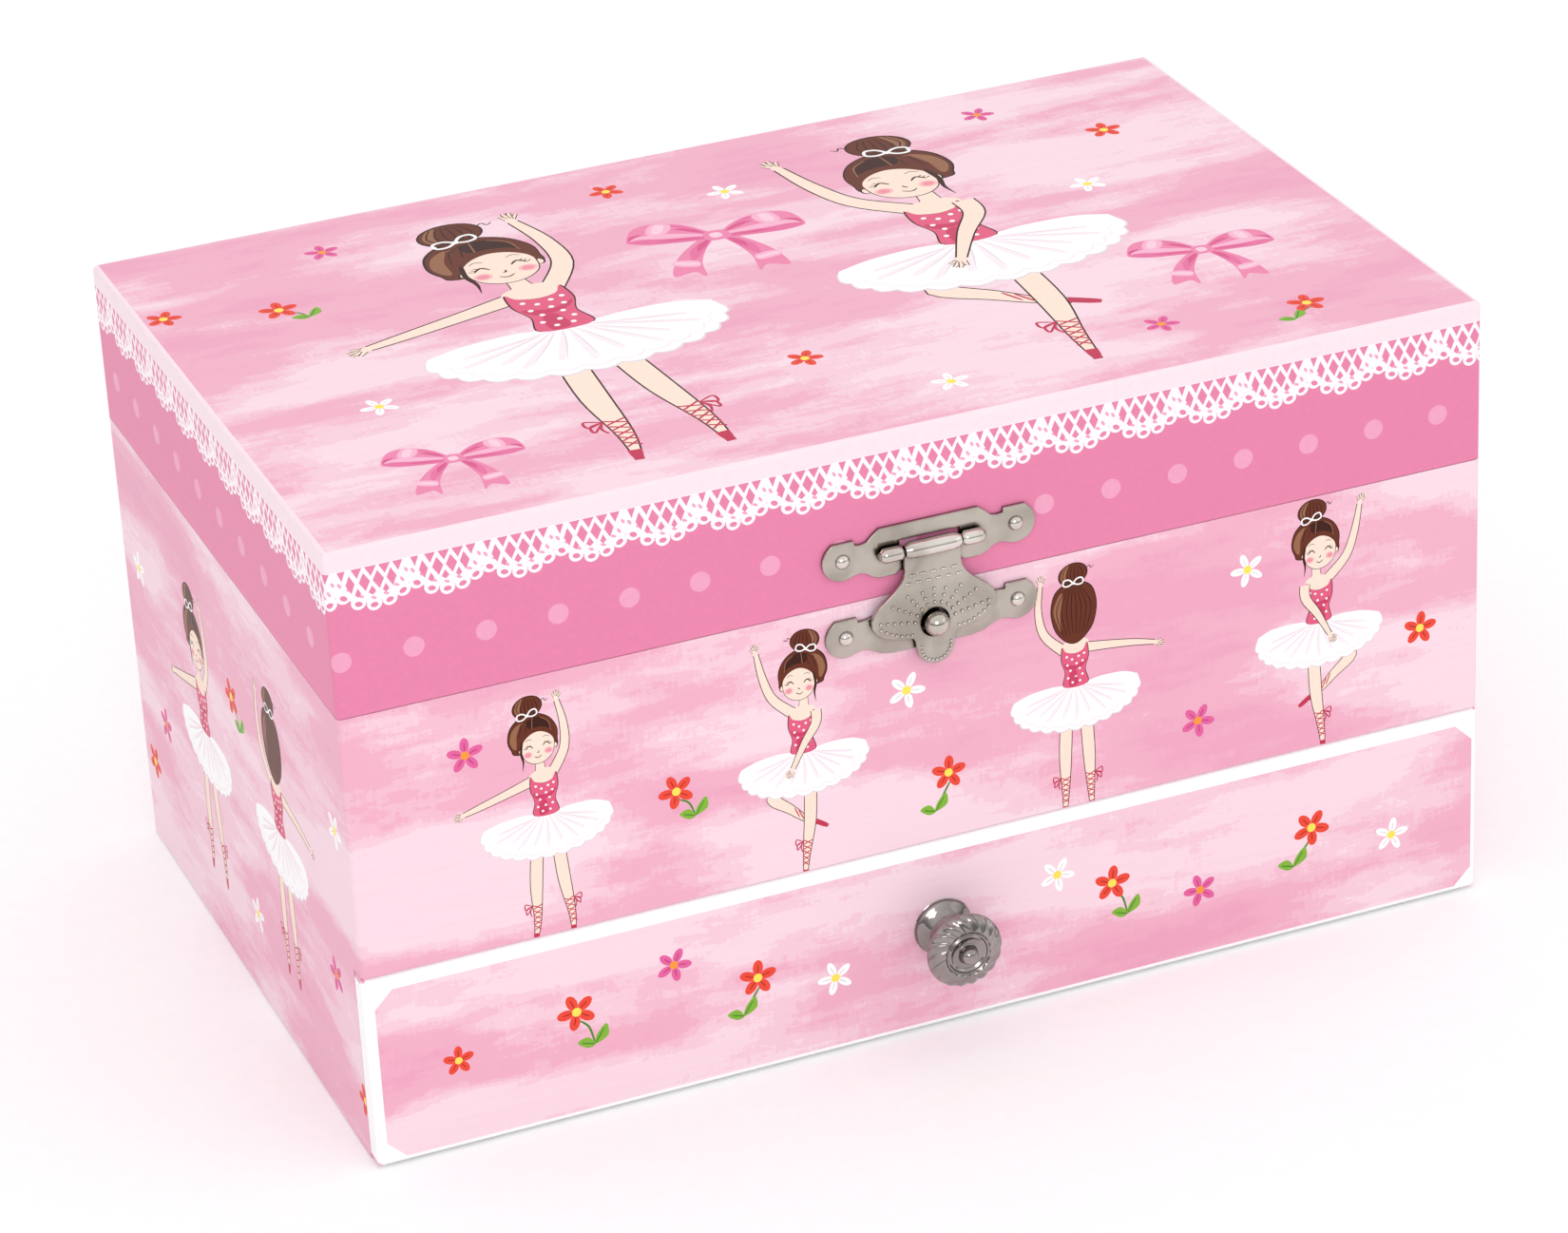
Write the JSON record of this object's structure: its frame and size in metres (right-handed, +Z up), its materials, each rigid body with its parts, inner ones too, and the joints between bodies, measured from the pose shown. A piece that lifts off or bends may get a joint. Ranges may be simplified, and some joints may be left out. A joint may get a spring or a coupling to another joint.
{
  "type": "ballerina jewellery box",
  "caption": "Paper-covered jewellery box with hinged lid, latch and drawer; a wind-up movement inside turns a dancer that folds down under the mirror.",
  "frame": {"origin": "centre of the case's underside, on the surface it stands on", "axes": "+X to the right, seen from the drawer side; +Y to the back, where the key is; +Z up"},
  "size_m": [0.19, 0.1453, 0.105],
  "materials": {
    "printed_board": "greyboard wrapped in satin-coated printed paper",
    "lined_board": "board covered in plain pink paper",
    "plush": "short velvet pile",
    "nickel_plate": "nickel plating, slightly satin",
    "steel": "plain steel",
    "cast_zinc": "as-cast zinc alloy",
    "brass": "machined",
    "nylon": "moulded",
    "mirror": "silvered glass",
    "dancer_skin": "moulded and painted",
    "tulle": "layered stiff net"
  },
  "bodies": {
    "case": {"case_bottom": "lined_board", "case_left_side": "printed_board", "case_right_side": "printed_board", "case_back": "printed_board", "case_front_panel": "printed_board", "middle_shelf": "lined_board", "rear_partition": "lined_board", "tray_divider_left": "lined_board", "tray_divider_right": "lined_board", "ring_rolls": "plush", "tray_lining": "plush", "movement_cover": "lined_board", "keeper_plate": "nickel_plate", "keeper_stud": "nickel_plate", "keeper_nails": "nickel_plate", "hinge_case_leaves": "nickel_plate", "hinge_pins": "nickel_plate", "case_hinge_nails": "nickel_plate", "movement_bedplate": "cast_zinc", "movement_screws": "steel", "bearing_bracket": "steel", "bracket_screws": "steel", "tuned_comb": "steel", "comb_screws": "steel", "clutch_spring": "steel"},
    "lid": {"lid_top": "printed_board", "lid_front_wall": "printed_board", "lid_back_wall": "printed_board", "lid_left_wall": "printed_board", "lid_right_wall": "printed_board", "lid_mirror": "mirror", "lid_lining": "plush", "hinge_lid_leaves": "nickel_plate", "lid_hinge_nails": "nickel_plate", "latch_plate": "nickel_plate", "latch_pin": "nickel_plate", "latch_nails": "nickel_plate"},
    "hasp": {"hasp": "nickel_plate"},
    "drawer": {"drawer_front": "printed_board", "drawer_left_side": "lined_board", "drawer_right_side": "lined_board", "drawer_back": "lined_board", "drawer_bottom": "lined_board", "drawer_lining": "plush", "drawer_knob": "nickel_plate", "knob_screw": "steel"},
    "key": {"winding_key": "steel", "winding_arbor": "steel"},
    "barrel": {"spring_barrel": "brass", "mainspring": "steel"},
    "cylinder": {"pin_cylinder": "brass", "cylinder_wheel": "brass", "spindle": "steel"},
    "idler": {"idler_wheel": "brass"},
    "fly": {"fly_governor": "nylon"},
    "stop": {"stop_rod": "steel"},
    "dancer_lean": {"dancer_spring": "steel"},
    "dancer": {"dancer_base": "dancer_skin", "dancer_figure": "dancer_skin", "dancer_tutu": "tulle"}
  },
  "joints": [
    {"name": "lid_open", "type": "hinge", "parent": "case", "child": "lid", "pos_m": [0, 0.0617, 0.078], "axis": [-1, 0, 0], "range_deg": [0, 100]},
    {"name": "hasp_swing", "type": "hinge", "parent": "lid", "child": "hasp", "pos_m": [0, -0.0619, 0.0856], "axis": [-1, 0, 0], "range_deg": [0, 150]},
    {"name": "drawer_slide", "type": "slide", "parent": "case", "child": "drawer", "axis": [0, -1, 0], "range_m": [0, 0.06]},
    {"name": "key_turn", "type": "hinge", "parent": "case", "child": "key", "pos_m": [0, 0.06, 0.025], "axis": [0, 1, 0], "continuous": true},
    {"name": "barrel_turn", "type": "hinge", "parent": "case", "child": "barrel", "pos_m": [0, 0.048, 0.025], "axis": [0, 1, 0], "continuous": true},
    {"name": "cylinder_turn", "type": "hinge", "parent": "case", "child": "cylinder", "pos_m": [0, 0.0366, 0.025], "axis": [0, 0, 1], "continuous": true},
    {"name": "idler_turn", "type": "hinge", "parent": "case", "child": "idler", "pos_m": [0.01362, 0.03191, 0.025], "axis": [0, 0, 1], "continuous": true},
    {"name": "fly_turn", "type": "hinge", "parent": "case", "child": "fly", "pos_m": [0.02546, 0.03622, 0.025], "axis": [0, 0, 1], "continuous": true},
    {"name": "stop_rod_slide", "type": "slide", "parent": "case", "child": "stop", "axis": [0, 0, 1], "range_m": [0, 0.0041]},
    {"name": "dancer_rise", "type": "hinge", "parent": "case", "child": "dancer_lean", "pos_m": [0, 0.0366, 0.069], "axis": [-1, 0, 0], "range_deg": [0, 60.1], "deforming": ["dancer_spring"]},
    {"name": "dancer_spin", "type": "hinge", "parent": "dancer_lean", "child": "dancer", "pos_m": [0, 0.0366, 0.069], "axis": [0, -0.866, 0.5], "continuous": true}
  ],
  "couplings": [
    {"joint": "cylinder_turn", "follows": "barrel_turn", "ratio": 1.5},
    {"joint": "idler_turn", "follows": "barrel_turn", "ratio": -4.5},
    {"joint": "fly_turn", "follows": "barrel_turn", "ratio": 11.25},
    {"joint": "dancer_spin", "follows": "barrel_turn", "ratio": 1.5},
    {"joint": "dancer_rise", "follows": "lid_open", "ratio": 0.6},
    {"joint": "stop_rod_slide", "follows": "lid_open", "m_per_rad": 0.002292}
  ]
}
